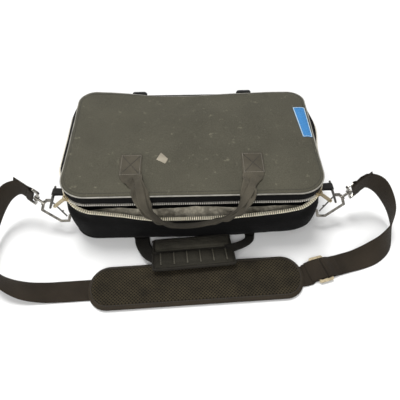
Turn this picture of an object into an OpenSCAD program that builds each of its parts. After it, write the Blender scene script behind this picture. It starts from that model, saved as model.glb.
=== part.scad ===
// Padded soft case of a guitar pedalboard, with the board inside it.
// +X is the case's right, +Y its hinge side (its bottom when it is carried), +Z up.
// The origin is the centre of the face that lies on the floor.

/* [Case] */
// Width of the case over its side walls
case_w = 580; // [572:1:590]
// Depth of the case over its front and back walls
case_d = 360; // [354:1:366]
// Outer radius of the upright corners
corner_r = 62; // [58:1:66]
// Thickness of the padded tray walls
wall_t = 6; // [5:0.5:6.5]
// Thickness of the padded lid walls
lid_wall_t = 5; // [4:0.5:5]
// Thickness of the base panel
base_t = 5; // [4.5:0.5:6]
// Height of the gap between the two rows of zip teeth
zip_z = 129; // [127:0.5:131]
// Height of the lid's top face
lid_top = 158; // [156:1:162]
// Thickness of the lid's top panel
panel_t = 5; // [4:0.5:6]
// Diameter of the piping round the lid
piping_d = 5; // [4:0.5:5]
// How low the slack front wall hangs in its middle
front_sag_z = 90; // [86:1:100]

/* [Webbing and handles] */
// Width of the handle and strap webbing
web_w = 50; // [46:1:50]
// Thickness of the webbing
web_t = 2.4; // [2:0.1:2.4]
// Distance of each handle's sewn ends from the middle of the case
handle_x = 136; // [130:1:138]
// Length of the box-stitched ends
patch_l = 62; // [56:1:64]
// Radius of the hanging front handle
handle_r = 126; // [124:1:128]
// Length of the padded grip
grip_l = 180; // [170:1:184]

/* [Strap] */
// Length of the shoulder pad
pad_l = 470; // [460:1:472]
// Width of the shoulder pad
pad_w = 100; // [94:1:104]
// Thickness of the shoulder pad
pad_t = 13; // [11:0.5:14]

/* [Board] */
// Length of the board's rails over their end caps
board_w = 559; // [550:1:560]
// Slope length of the board
deck_l = 320; // [310:1:322]
// Slope of the board in degrees
deck_tilt = 9.5; // [8:0.5:9.5]
// Width of one rail
rail_w = 44; // [40:1:46]
// Height of one rail
rail_h = 14; // [12:1:16]

/* [Hidden] */
$fn = 64;
clear = 0.3;                              // gap between soft solids on different bodies
cx = case_w / 2;
cy = case_d / 2;
mid_x = cx - corner_r;                    // corner centres
mid_y = cy - corner_r;

// Zip
teeth_h = 3;
teeth_t = 4;
tray_top = zip_z - clear - teeth_h;
lid_low = zip_z + clear + teeth_h;
panel_z = lid_top - panel_t;
foot_x = 141;
foot_deep = 11;

// Board
board_z = base_t + 3 + clear;             // top of the base pad, with room
board_foot_h = 6;
deck_run = deck_l * cos(deck_tilt);
deck_front_z = 32;                        // underside of the rails at the front
rail_gap = (deck_l - 5 * rail_w) / 4;
frame_x = 200;
frame_w = 26;

// Rings and hooks, for the right side; the left side is a mirror image
ring_wire = 5;
ring_r = 16;
ring_leg = 36;
ring_lean = 23;
ring_pos = [322, -118, 103];
tab_w = 26;
hook_base = [355, -122, 68.5];
hook_turn = [-24, 27, -155];
eye_turn = [0, 27, -155];
hook_wire = 6;
stem_d = 6;
eye_wire = 5;
eye_x = -34;
eye_half = 28;
gate_from = [9, -14];
gate_l = 54;
gate_slope = 9.9;
pin_d = 2.6;

// Zip sliders sit on the front corners, this far round from the side walls
slider_turn = 39;
slider_in = corner_r + 0.6;

// Grip on the rear handle
grip_pos = [-3, -232, 0];
grip_turn = 5;
grip_w = 44;
rear_lift = 11.5;
flap_w = 34;
rib_n = 5;

// Strap route: x, y, z and how far the band stands up on its edge, in degrees
strap_z = 2.6;
route_left = [
    [-229, -318.0, strap_z, 0], [-290, -321, strap_z, 0], [-330, -322, 4, 5], [-372, -319, 10, 18],
    [-412, -306, 20, 42], [-446, -281, 27, 66], [-465, -243, 30, 82], [-469, -196, 38, 90],
    [-465, -150, 54, 90], [-453, -118, 74, 90], [-434, -100, 91, 90], [-408.4, -97, 97.4, 90], [-389, -106, 86.5, 90]
];
route_right = [
    [241, -295, strap_z, 0], [256, -288, strap_z, 0], [272, -282.6, strap_z, 0], [340, -264, strap_z, 0],
    [375, -255, 4, 6], [410, -243, 12, 26], [442, -222, 22, 50], [464, -188, 32, 74],
    [470, -150, 51, 86], [457, -117, 74, 90], [436, -99, 91, 90], [408.4, -97, 97.4, 90], [389, -106, 86.5, 90]
];
pad_mid = [5, -306.5];
pad_turn = 2.8;
slider_pos = [285, -279];
slider_heading = 15.2;

// ---------- shared shapes ----------

module round_rect(w, d, r) {
    square([w - 2 * r, d], center = true);
    square([w, d - 2 * r], center = true);
    for (x = [-1, 1], y = [-1, 1])
        translate([x * (w / 2 - r), y * (d / 2 - r)]) circle(r);
}

module wall_band(t, z0, z1, inset = 0) {
    translate([0, 0, z0]) linear_extrude(z1 - z0) difference() {
        round_rect(case_w - 2 * inset, case_d - 2 * inset, corner_r - inset);
        round_rect(case_w - 2 * (inset + t), case_d - 2 * (inset + t), corner_r - inset - t);
    }
}

module span(x0, x1, y0, y1, z0, z1) {
    translate([x0, y0, z0]) cube([x1 - x0, y1 - y0, z1 - z0]);
}

// A bar with round ends between two points, in plan
module limb(a, b, d) {
    run = b - a;
    translate(a) rotate(atan2(run[1], run[0])) translate([0, -d / 2]) square([norm(run), d]);
    for (p = [a, b]) translate(p) circle(d = d);
}

module both_x(x) {
    for (s = [-1, 1]) translate([s * x, 0, 0]) children();
}

// Height of the slack front wall along its length
front_edge = [
    [-mid_x, tray_top], [-200, 118], [-150, front_sag_z + 8], [-60, front_sag_z], [60, front_sag_z],
    [150, front_sag_z + 8], [200, 118], [mid_x, tray_top]
];

// ---------- tray ----------

module bottom_panel() color([0.09, 0.09, 0.1]) difference() {
    linear_extrude(base_t) round_rect(case_w, case_d, corner_r);
    both_x(handle_x) span(-web_w / 2 - 0.2, web_w / 2 + 0.2, -cy - 1, 0.2 - cy + 112, -1, web_t);
}

module base_pad() color([0.25, 0.25, 0.26]) translate([0, 0, base_t])
    linear_extrude(3) round_rect(case_w - 2 * wall_t - 0.6, case_d - 2 * wall_t - 0.6, corner_r - wall_t - 0.3);

module tray_front_wall() color([0.1, 0.1, 0.11])
    translate([0, wall_t - cy, 0]) rotate([90, 0, 0]) linear_extrude(wall_t)
        polygon(concat([[mid_x, base_t], [-mid_x, base_t]], front_edge));

module tray_back_wall() color([0.1, 0.1, 0.11])
    span(-mid_x, mid_x, cy - wall_t, cy, base_t, tray_top);

module tray_side_wall() color([0.1, 0.1, 0.11]) intersection() {
    wall_band(wall_t, base_t, tray_top);
    span(mid_x, case_w, -case_d, case_d, 0, lid_top);
}

module tray_zip_teeth() color([0.78, 0.72, 0.58]) {
    intersection() {
        wall_band(teeth_t, tray_top, tray_top + teeth_h);
        union() {
            span(mid_x, case_w, -case_d, mid_y, 0, lid_top);
            span(-case_w, -mid_x, -case_d, mid_y, 0, lid_top);
        }
    }
    translate([0, teeth_t - cy, 0]) rotate([90, 0, 0]) linear_extrude(teeth_t) difference() {
        polygon(concat([[mid_x, base_t], [-mid_x, base_t]], [for (p = front_edge) [p[0], p[1] + teeth_h]]));
        polygon(concat([[mid_x + 1, base_t - 1], [-mid_x - 1, base_t - 1], [-mid_x - 1, tray_top]],
            front_edge, [[mid_x + 1, tray_top]]));
    }
}

module front_lining() color([0.35, 0.34, 0.32])
    span(-200, 200, wall_t - cy + 0.4, wall_t - cy + 2, board_z + 0.2, 119);

module fabric_hinge() color([0.1, 0.1, 0.11]) span(-220, 220, cy, cy + 0.8, zip_z - 24, zip_z - 1);

module stud_foot(z, h, deep) {
    translate([0, 0, z]) rotate([-90, 0, 0]) linear_extrude(deep) round_rect(40, h, 8);
}

module tray_feet() color([0.05, 0.05, 0.05]) both_x(foot_x) translate([0, cy, 0]) stud_foot(36, 18, foot_deep);

module ring_tab() color([0.07, 0.07, 0.07]) difference() {
    translate([ring_pos[0], ring_pos[1], ring_pos[2]]) {
        span(265 - ring_pos[0], 0, -tab_w / 2, tab_w / 2, -4.2, 4.2);
        rotate([90, 0, 0]) cylinder(d = 8.4, h = tab_w, center = true);
        span(cx - ring_pos[0] - 14, cx - ring_pos[0] + 2, -tab_w / 2, tab_w / 2, -32, -4.2);
    }
    linear_extrude(lid_top) round_rect(case_w, case_d, corner_r);
    translate(ring_pos) rotate([90, 0, 0]) cylinder(d = ring_wire + 0.5, h = tab_w + 1, center = true);
}

module rear_handle_patch() color([0.05, 0.05, 0.05])
    span(-web_w / 2, web_w / 2, -cy + 2, -cy + 112, 0, web_t - 0.2);

// ---------- board ----------

module on_deck() {
    translate([0, -deck_run / 2, deck_front_z]) rotate([deck_tilt, 0, 0]) children();
}

// The first and last rails are shorter, to clear the case's round corners
function rail_half(i) = i == 0 || i == 4 ? board_w / 2 - 15 : board_w / 2;
function rail_y(i) = i * (rail_w + rail_gap) + rail_w / 2;

cap_t = 3;
module board_rails() color([0.12, 0.12, 0.13]) on_deck() for (i = [0 : 4]) translate([0, rail_y(i), 0])
    difference() {
        span(cap_t - rail_half(i), rail_half(i) - cap_t, -rail_w / 2, rail_w / 2, 0, rail_h);
        span(-board_w, board_w, 2 - rail_w / 2, rail_w / 2 - 2, 2, rail_h - 2);
    }

module rail_end_caps() color([0.03, 0.03, 0.03]) on_deck() for (i = [0 : 4], s = [-1, 1])
    translate([s * (rail_half(i) - cap_t), rail_y(i), 0]) {
        span(min(0, s * cap_t), max(0, s * cap_t), -rail_w / 2, rail_w / 2, 0, rail_h);
        span(-s * 6 - 6, -s * 6 + 6, 2.2 - rail_w / 2, rail_w / 2 - 2.2, 2.2, rail_h - 2.2);
    }

module hook_loop_strips() color([0.04, 0.04, 0.04]) on_deck() for (i = [0 : 4]) translate([0, rail_y(i), 0])
    span(24 - rail_half(i), rail_half(i) - 24, 3 - rail_w / 2, rail_w / 2 - 3, rail_h, rail_h + 1.6);

// Height of the rails' underside at a given distance from the front of the board
function under(y) = deck_front_z + y * tan(deck_tilt);
foot_top = board_z + board_foot_h;
bar_h = 12;
leg_w = 24;
module side_frame() color([0.12, 0.12, 0.13])
    translate([-frame_w / 2, -deck_run / 2, 0]) rotate([90, 0, 90]) linear_extrude(frame_w)
        polygon([
            [2, under(2)], [2, foot_top], [2 + leg_w, foot_top], [2 + leg_w, under(2 + leg_w) - bar_h],
            [deck_run - 2 - leg_w, under(deck_run - 2 - leg_w) - bar_h], [deck_run - 2 - leg_w, foot_top],
            [deck_run - 2, foot_top], [deck_run - 2, under(deck_run - 2)]
        ]);

module board_feet() color([0.03, 0.03, 0.03]) for (s = [-1, 1], y = [2 + leg_w / 2, deck_run - 2 - leg_w / 2])
    translate([s * frame_x, y - deck_run / 2, board_z]) cylinder(d = 22, h = board_foot_h);

// ---------- lid ----------

module lid_panel() color([0.3, 0.29, 0.25]) translate([0, 0, panel_z])
    linear_extrude(panel_t) round_rect(case_w, case_d, corner_r);

module lid_wall() color([0.1, 0.1, 0.11]) wall_band(lid_wall_t, lid_low, panel_z);

module lid_pad() color([0.25, 0.25, 0.26]) translate([0, 0, panel_z - 6]) linear_extrude(6)
    round_rect(case_w - 2 * lid_wall_t - 0.6, case_d - 2 * lid_wall_t - 0.6, corner_r - lid_wall_t - 0.3);

module lid_zip_teeth() color([0.75, 0.74, 0.72]) intersection() {
    wall_band(teeth_t, zip_z + clear, lid_low);
    span(-case_w, case_w, -case_d, mid_y, 0, lid_top);
}

module lid_piping() color([0.72, 0.7, 0.66]) translate([0, 0, lid_top - piping_d / 2]) {
    for (s = [-1, 1]) {
        translate([s * (cx + piping_d / 2), 0, 0]) rotate([90, 0, 0])
            cylinder(d = piping_d, h = 2 * mid_y, center = true);
        translate([0, s * (cy + piping_d / 2), 0]) rotate([0, 90, 0])
            cylinder(d = piping_d, h = 2 * mid_x, center = true);
    }
    for (q = [0 : 3]) translate([(q == 0 || q == 3 ? 1 : -1) * mid_x, (q < 2 ? 1 : -1) * mid_y, 0])
        rotate([0, 0, 90 * q]) rotate_extrude(angle = 90) translate([corner_r + piping_d / 2, 0])
            circle(d = piping_d);
}

module woven_tag() color([0.2, 0.45, 0.65]) span(cx - 31, cx - 1, -4, 106, lid_top, lid_top + 1);

module lid_feet() color([0.05, 0.05, 0.05]) both_x(foot_x) {
    span(-16, 16, cy, cy + piping_d + 1, lid_low + 6, lid_top - piping_d - 0.5);
    translate([0, cy + piping_d + 0.4, 0]) stud_foot(lid_top - 10, 19, 5.6);
}

module handle_patch() color([0.07, 0.07, 0.07])
    span(-web_w / 2 - 1, web_w / 2 + 1, -cy + 2, -cy + 52 + patch_l, lid_top, lid_top + web_t);

// The webbing hangs from the lid's front edge in a loop, folded double along its middle
handle_y = -cy - 6;
fold_w = 26;
fold_t = 5;
root_y0 = -cy - 48;
module front_handle() color([0.07, 0.07, 0.07]) {
    translate([0, root_y0 + fold_w, lid_top + web_t + sqrt(pow(handle_r, 2) - pow(handle_x - 22, 2))])
        rotate([90, 0, 0]) intersection() {
            difference() {
                cylinder(r = handle_r + fold_t / 2, h = fold_w);
                translate([0, 0, -1]) cylinder(r = handle_r - fold_t / 2, h = fold_w + 2);
            }
            drop = sqrt(pow(handle_r, 2) - pow(handle_x - 22, 2));
            translate([-handle_r - 10, -handle_r - 10, 0])
                cube([2 * handle_r + 20, handle_r + 10 - drop, fold_w]);
        }
    both_x(handle_x) span(-web_w / 2, web_w / 2, root_y0, handle_y, lid_top + web_t, lid_top + 2 * web_t);
}

// ---------- rear handle and grip ----------

// The handle slopes up from the case's bottom edge, because it lies on the shoulder pad
module at_rear() {
    translate([0, -cy - 2, 1.1]) rotate([-rear_lift, 0, 0]) translate([0, cy + 2, -1.1]) children();
}

module rear_handle() color([0.05, 0.05, 0.05]) at_rear() linear_extrude(web_t - 0.2) {
    polygon([[-160, -cy - 3], [-112, -cy - 3], [-70, -243], [-104, -269]]);
    polygon([[112, -cy - 3], [160, -cy - 3], [96, -261], [70, -229]]);
    translate([grip_pos[0], grip_pos[1]]) rotate(grip_turn) translate([0, -23]) square([178, 26], center = true);
}

module at_grip() {
    at_rear() translate(grip_pos) rotate([0, 0, grip_turn]) children();
}

module grip_pad() color([0.09, 0.08, 0.08]) at_grip() translate([0, -grip_w / 2 - 2, 2.6])
    linear_extrude(10.4) round_rect(grip_l, grip_w, 10);

module grip_ribs() color([0.09, 0.08, 0.08]) at_grip()
    for (i = [0 : rib_n - 1]) translate([(i - (rib_n - 1) / 2) * 29, -grip_w / 2 - 2, 13])
        linear_extrude(4) round_rect(24, grip_w - 12, 8);

module grip_flap() color([0.09, 0.08, 0.08]) at_grip() translate([0, flap_w / 2 + 2, 2.6])
    linear_extrude(8.4) round_rect(grip_l - 6, flap_w, 8);

// ---------- rings, hooks and eyes ----------

module d_ring() color([0.35, 0.34, 0.32]) translate(ring_pos) rotate([0, -90 - ring_lean, 0])
    rotate([0, 0, 90]) {
        rotate([0, 90, 0]) cylinder(d = ring_wire, h = 2 * ring_r, center = true);
        for (s = [-1, 1]) translate([s * ring_r, 0, 0]) {
            sphere(d = ring_wire);
            rotate([-90, 0, 0]) cylinder(d = ring_wire, h = ring_leg);
        }
        translate([0, ring_leg, 0]) rotate_extrude(angle = 180) translate([ring_r, 0]) circle(d = ring_wire);
    }

module at_hook(turn) {
    translate(hook_base) rotate(turn) children();
}

module hook() color([0.8, 0.78, 0.74]) at_hook(hook_turn) {
    translate([0, 0, -hook_wire / 2]) linear_extrude(hook_wire) {
        limb([0, 0], [7, 15], hook_wire);
        limb([7, 15], [58, 12], hook_wire);
        limb([58, 12], [72, 2], hook_wire);
        limb([72, 2], [66, -10], hook_wire);
        limb([0, 0], [2, -9], hook_wire);
    }
    for (z = [-5, 2.2]) translate([0, 0, z]) linear_extrude(2.8) difference() {
        limb([2, -9], gate_from, 7);
        translate(gate_from) circle(d = pin_d);
    }
    translate([-3, 0, 0]) rotate([0, 90, 0]) cylinder(d = 13, h = 5);
    translate([-23, 0, 0]) rotate([0, 90, 0]) cylinder(d = stem_d, h = 21);
    translate([-26, 0, 0]) rotate([0, 90, 0]) cylinder(d = 10, h = 3);
}

module gate_pin() color([0.6, 0.6, 0.6]) at_hook(hook_turn)
    translate([gate_from[0], gate_from[1], -5]) cylinder(d = pin_d, h = 10);

module hook_gate() color([0.3, 0.3, 0.3]) at_hook(hook_turn) translate([gate_from[0], gate_from[1], -1.8])
    linear_extrude(3.6) difference() {
        union() {
            circle(d = 6.4);
            rotate(gate_slope) translate([0, -1.7]) square([gate_l, 3.4]);
            rotate(gate_slope) translate([gate_l - 18, -4]) square([4, 4]);
        }
        circle(d = pin_d + 0.4);
    }

module swivel_eye() color([0.8, 0.78, 0.74]) at_hook(eye_turn) difference() {
    union() {
        translate([-22.5, 0, 0]) rotate([0, 90, 0]) cylinder(d = 14, h = 7);
        rotate([90, 0, 0]) translate([(eye_x - 19) / 2, 0, -eye_wire / 2]) linear_extrude(eye_wire) difference() {
            round_rect(-19 - eye_x + eye_wire, 2 * eye_half + eye_wire, 4);
            round_rect(-19 - eye_x - eye_wire, 2 * eye_half - eye_wire, 1.5);
        }
    }
    translate([-60, 0, 0]) rotate([0, 90, 0]) cylinder(d = stem_d + 0.2, h = 80);
}

// ---------- zip sliders ----------

module at_slider() {
    translate([mid_x, -mid_y, zip_z]) rotate([0, 0, -slider_turn]) children();
}

module zip_slider() color([0.75, 0.66, 0.45]) at_slider() {
    intersection() {
        difference() {
            translate([0, 0, -8]) cylinder(r = slider_in + 3, h = 16);
            translate([0, 0, -9]) cylinder(r = slider_in, h = 18);
        }
        translate([slider_in - 8, -11, -8]) cube([20, 22, 16]);
    }
    for (s = [-1, 1]) translate([slider_in + 2, s * 6, 0]) span(0, 4.5, -1.2, 1.2, -4, 4);
    translate([slider_in + 7, 0, 0]) rotate([90, 0, 0]) cylinder(d = 3, h = 14.4, center = true);
}

module zip_pull() color([0.75, 0.66, 0.45]) at_slider() translate([slider_in + 7, 0, 0]) rotate([0, 14, 0])
    difference() {
        union() {
            rotate([90, 0, 0]) cylinder(d = 6.4, h = 8, center = true);
            span(0, 25, -4, 4, -1.5, 1.5);
            translate([25, 0, 0]) cylinder(d = 8, h = 3, center = true);
        }
        rotate([90, 0, 0]) cylinder(d = 3.5, h = 10, center = true);
        translate([24, 0, 0]) cylinder(d = 4, h = 10, center = true);
    }

// ---------- shoulder strap ----------

function flat(v) = [v[0], v[1], v[2]];
function unit(v) = v / norm(v);
function heading(r, i) = unit(flat(r[min(i + 1, len(r) - 1)]) - flat(r[max(i - 1, 0)]));
function across(r, i) = let (t = heading(r, i), side = unit([-t[1], t[0], 0]), up = unit(cross(t, side)))
    side * cos(r[i][3]) + up * sin(r[i][3]);

// Half of the band's outline, across and through it
band = [[25, 0.6], [24, 1.2], [-24, 1.2], [-25, 0.6], [-25, -0.6], [-24, -1.2], [24, -1.2], [25, -0.6]];
module webbing(r) color([0.1, 0.09, 0.08]) {
    n = len(r);
    m = len(band);
    points = [for (i = [0 : n - 1]) let (a = across(r, i), b = cross(heading(r, i), a)) for (p = band)
        flat(r[i]) + a * p[0] * web_w / 50 + b * p[1] * web_t / 2.4];
    // The upper and lower faces are split along the same diagonal, so that a twist doesn't cross them
    sides = [for (i = [0 : n - 2], j = [0 : m - 1])
        let (a = i * m + j, b = i * m + (j + 1) % m, c = b + m, d = a + m)
        each j < m / 2 ? [[a, b, c], [a, c, d]] : [[a, b, d], [b, c, d]]];
    first = [for (j = [m - 1 : -1 : 0]) j];
    last = [for (j = [0 : m - 1]) (n - 1) * m + j];
    polyhedron(points, concat(sides, [first, last]));
}

module strap_pad() color([0.16, 0.14, 0.12]) translate([pad_mid[0], pad_mid[1], 0]) rotate([0, 0, pad_turn])
    difference() {
        translate([0, 0, 0.2]) linear_extrude(pad_t) round_rect(pad_l, pad_w, 44);
        span(-pad_l, pad_l, -27, 27, strap_z - 1.9, strap_z + 1.9);
    }

module strap_slider() color([0.7, 0.62, 0.45]) translate([slider_pos[0], slider_pos[1], strap_z + 1.8])
    rotate([0, 0, slider_heading]) linear_extrude(3.6) difference() {
        round_rect(34, 64, 5);
        for (s = [-1, 1]) translate([s * 7.5, 0]) square([9, 53], center = true);
    }

// ---------- nodes ----------

bottom_panel();
base_pad();
tray_front_wall();
tray_back_wall();
mirror([1, 0, 0]) tray_side_wall();  // tray_left_wall
tray_side_wall();  // tray_right_wall
tray_zip_teeth();
front_lining();
fabric_hinge();
tray_feet();
mirror([1, 0, 0]) ring_tab();  // ring_tab_left
ring_tab();  // ring_tab_right
translate([-handle_x, 0, 0]) rear_handle_patch();  // rear_handle_patch_left
translate([handle_x, 0, 0]) rear_handle_patch();  // rear_handle_patch_right
board_rails();
rail_end_caps();
translate([-frame_x, 0, 0]) side_frame();  // side_frame_left
translate([frame_x, 0, 0]) side_frame();  // side_frame_right
board_feet();
hook_loop_strips();
webbing(route_left);  // strap_webbing_left
webbing(route_right);  // strap_webbing_right
mirror([1, 0, 0]) swivel_eye();  // swivel_eye_left
swivel_eye();  // swivel_eye_right
lid_panel();
lid_wall();
lid_pad();
lid_piping();
lid_zip_teeth();
woven_tag();
lid_feet();
translate([-handle_x, 0, 0]) handle_patch();  // handle_patch_left
translate([handle_x, 0, 0]) handle_patch();  // handle_patch_right
front_handle();
rear_handle();
grip_pad();
grip_ribs();
grip_flap();
mirror([1, 0, 0]) d_ring();  // ring_left
d_ring();  // ring_right
mirror([1, 0, 0]) hook();  // hook_left
hook();  // hook_right
mirror([1, 0, 0]) hook_gate();  // hook_gate_left
hook_gate();  // hook_gate_right
mirror([1, 0, 0]) gate_pin();  // gate_pin_left
gate_pin();  // gate_pin_right
mirror([1, 0, 0]) zip_slider();  // zip_slider_left
zip_slider();  // zip_slider_right
mirror([1, 0, 0]) zip_pull();  // zip_pull_left
zip_pull();  // zip_pull_right
strap_slider();
strap_pad();
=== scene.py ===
import math

import bmesh
import bpy
import numpy as np
from mathutils import Matrix, Vector, noise
from mathutils.bvhtree import BVHTree


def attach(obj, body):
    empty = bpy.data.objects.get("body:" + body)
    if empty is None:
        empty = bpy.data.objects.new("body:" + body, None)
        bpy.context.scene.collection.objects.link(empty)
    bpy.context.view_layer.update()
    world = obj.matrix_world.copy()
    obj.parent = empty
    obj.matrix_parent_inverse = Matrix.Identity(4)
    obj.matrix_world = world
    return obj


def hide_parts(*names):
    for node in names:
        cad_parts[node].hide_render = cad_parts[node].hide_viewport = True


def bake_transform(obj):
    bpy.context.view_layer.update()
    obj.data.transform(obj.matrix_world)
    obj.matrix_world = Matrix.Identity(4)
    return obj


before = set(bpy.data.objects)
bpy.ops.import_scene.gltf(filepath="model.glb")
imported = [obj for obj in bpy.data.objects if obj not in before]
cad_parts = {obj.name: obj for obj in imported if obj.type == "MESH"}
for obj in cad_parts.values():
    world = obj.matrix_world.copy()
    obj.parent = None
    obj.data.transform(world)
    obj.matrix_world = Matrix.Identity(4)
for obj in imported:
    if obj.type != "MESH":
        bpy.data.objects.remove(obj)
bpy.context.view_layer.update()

TAU = 2 * math.pi

# the case, in metres
CX, CY = 0.290, 0.180                        # half width and half depth
R, R_BACK = 0.062, 0.040                     # corner radii; the back corners are squarer than the front ones
MY = CY - R                                  # how far forward the front corners' centres are
WIDEN = 0.018                                # the share by which the case is wider towards its back
TRAY_FOOT, TRAY_TOP = 0.0015, 0.1257         # foot and top of the tray's wall, where it isn't slack
UPPER_ZIP = 0.1310                           # height of the lid's row of teeth
BAND_LOW, BAND_RISE = 0.1325, 0.0215         # the lid's side band: its lower edge and its height
PIPING_Z, PIPING_R = 0.1542, 0.0016
LID_LEVEL = 0.1588                           # the lid's top near its edge, also taken where a ray misses it
TOOTH_PITCH = 0.0046
PAD_PITCH = 0.0053                           # spacing of the holes in the shoulder pad's mesh
RIB_PITCH = 0.0295                           # spacing of the pockets on the grip
WAVE = 0.314                                 # a wave texture's scale times the pitch of its bands


def V(*a):
    return np.array(a, float)


def unit(v):
    return np.asarray(v, float) / np.linalg.norm(v)


# ---------- camera ----------

def make_camera():
    yaw, pitch, roll = (math.radians(a) for a in (0.505, 49.912, -0.746))
    ahead = Vector((math.sin(yaw) * math.cos(pitch), math.cos(yaw) * math.cos(pitch), -math.sin(pitch)))
    level = Vector((math.cos(yaw), -math.sin(yaw), 0))
    over = level.cross(ahead)
    right = level * math.cos(roll) + over * math.sin(roll)
    up = over * math.cos(roll) - level * math.sin(roll)
    data = bpy.data.cameras.new("camera")
    data.sensor_width, data.lens, data.clip_start = 36, 35.9, 0.01
    cam = bpy.data.objects.new("camera", data)
    turn = Matrix((right, up, -ahead)).transposed().to_4x4()
    cam.matrix_world = Matrix.Translation((0.0108, -0.7336, 0.7952)) @ turn
    bpy.context.collection.objects.link(cam)
    bpy.context.scene.camera = cam


make_camera()


# ---------- materials ----------

class Mat:
    """A node material: m.add(type, value or link for each input by name) returns the node."""

    def __init__(self, name, rough=0.8, **sockets):
        self.m = bpy.data.materials.new(name)
        self.m.use_nodes = True
        self.tree = self.m.node_tree
        self.b = self.tree.nodes["Principled BSDF"]
        self.b.inputs["Roughness"].default_value = rough
        for k, v in sockets.items():
            self.b.inputs[k.replace("_", " ")].default_value = v

    def add(self, kind, props=None, **ins):
        n = self.tree.nodes.new("ShaderNode" + kind)
        for k, v in (props or {}).items():
            setattr(n, k, v)
        for k, v in ins.items():
            at = int(k[1:]) if k[0] == "i" and k[1:].isdigit() else k.replace("_", " ")
            if isinstance(v, bpy.types.NodeSocket):
                self.tree.links.new(v, n.inputs[at])
            else:
                n.inputs[at].default_value = v
        return n

    def link(self, out, name):
        self.tree.links.new(out, self.b.inputs[name])

    def coords(self, which="Object"):
        return self.add("TexCoord").outputs[which]

    def noise(self, at, scale, detail=3.0, rough=0.55):
        return self.add("TexNoise", Vector=at, Scale=scale, Detail=detail, Roughness=rough).outputs["Fac"]

    def math(self, op, a, b=0.5):
        return self.add("Math", {"operation": op}, i0=a, i1=b).outputs[0]

    def ramp(self, fac, *stops):
        n = self.add("ValToRGB", Fac=fac)
        e = n.color_ramp.elements
        while len(e) < len(stops):
            e.new(0.5)
        for x, (at, c) in zip(e, stops):
            x.position, x.color = at, (*c, 1) if len(c) == 3 else c
        return n.outputs["Color"]

    def mix(self, fac, a, b, mode="MIX"):
        return self.add("MixRGB", {"blend_type": mode}, Fac=fac, Color1=a, Color2=b).outputs["Color"]

    def bump(self, height, distance):
        bump = self.add("Bump", Height=height, Distance=distance)
        self.link(bump.outputs["Normal"], "Normal")


def shade(c, k):
    return tuple(x * k for x in c)


def cloth(name, colour, pitch, deep, rough, sheen, tint, wear=0.25, scuff=0.0, crease=0.0, shine=0.15,
          patch=9, crumple=False):
    """Woven cloth: crossed threads, uneven dye, and lint or scuffs; crumple adds creases with painted shade
    along them. Coordinates are metres.
    """
    m = Mat(name, rough, Sheen_Weight=sheen, Sheen_Roughness=0.45, Sheen_Tint=(*tint, 1),
            Specular_IOR_Level=shine)
    at = m.coords()
    waves = [m.add("TexWave", {"bands_direction": d}, Vector=at, Scale=WAVE / pitch, Distortion=0.6,
                   Detail=1.0).outputs["Fac"] for d in "XYZ"]
    weave = m.math("ADD", m.math("MULTIPLY", waves[0], waves[1]), waves[2])
    uneven = m.noise(at, patch, 4)
    fine = m.noise(at, 420, 2)
    low, high = shade(colour, 1 - wear), shade(colour, 1 + wear)
    base = m.ramp(uneven, (0.3, low), (0.7, high))
    base = m.mix(0.35, base, m.ramp(fine, (0.3, shade(colour, 0.45)), (0.75, shade(colour, 1.7))))
    if scuff:
        mark = m.ramp(m.noise(at, 55, 6, 0.7), (0.61, (0, 0, 0)), (0.72, (1, 1, 1)))
        base = m.mix(m.math("MULTIPLY", mark, scuff), base, (*shade(colour, 3.2), 1))
    height = m.math("ADD", m.math("MULTIPLY", weave, 0.6), m.math("MULTIPLY", fine, 0.8))
    if crumple:
        for scale in (13, 31):
            line = m.math("ABSOLUTE", m.math("SUBTRACT", m.noise(at, scale, 2, 0.5), 0.5))
            # painted shade: the cloth turns darker along each crease line
            darkening = m.ramp(line, (0.0, (0.42, 0.40, 0.38)), (0.10, (1, 1, 1)))
            base = m.mix(0.55, base, darkening, "MULTIPLY")
            height = m.math("ADD", height, m.math("MULTIPLY", line, 30))
    m.link(base, "Base Color")
    m.link(m.math("ADD", m.math("MULTIPLY", m.noise(at, 30), 0.2), rough - 0.12), "Roughness")
    if crease:
        height = m.math("ADD", height, m.math("MULTIPLY", m.noise(at, 45, 5, 0.6), crease))
    m.bump(height, deep)
    return m.m


def webbing(name, colour, shade_span=None):
    """Ribbed strap webbing. The UV map runs in metres, along and across the band. The last argument gives the
    heights between which painted shade fades upward, from dark to the webbing's own colour."""
    m = Mat(name, 0.7, Sheen_Weight=0.08, Sheen_Roughness=0.4, Sheen_Tint=(0.55, 0.53, 0.5, 1),
            Specular_IOR_Level=0.15)
    at = m.coords("UV")
    along, over = (m.add("TexWave", {"bands_direction": d}, Vector=at, Scale=WAVE / pitch,
                         Distortion=uneven).outputs["Fac"]
                   for d, pitch, uneven in (("X", 0.0017, 0.4), ("Y", 0.0022, 0.3)))
    uneven = m.noise(m.coords(), 14, 4)
    base = m.ramp(uneven, (0.3, shade(colour, 0.7)), (0.7, shade(colour, 1.35)))
    base = m.mix(m.math("MULTIPLY", over, 0.5), base, (*shade(colour, 0.35), 1))
    lint = m.ramp(m.noise(m.coords(), 700, 3, 0.7), (0.6, (0, 0, 0)), (0.8, (1, 1, 1)))
    base = m.mix(m.math("MULTIPLY", lint, 0.25), base, (*shade(colour, 4), 1))
    if shade_span:
        # painted shade: the webbing turns darker lower down, where it hangs in shadow
        height = m.add("SeparateXYZ", Vector=m.coords()).outputs["Z"]
        span = m.add("MapRange", Value=height, From_Min=shade_span[0], From_Max=shade_span[1]).outputs["Result"]
        base = m.mix(1.0, base, m.ramp(span, (0.0, (0.33, 0.33, 0.34)), (1.0, (1, 1, 1))), "MULTIPLY")
    m.link(base, "Base Color")
    m.bump(m.math("ADD", over, m.math("MULTIPLY", along, 0.7)), 0.0005)
    return m.m


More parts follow.
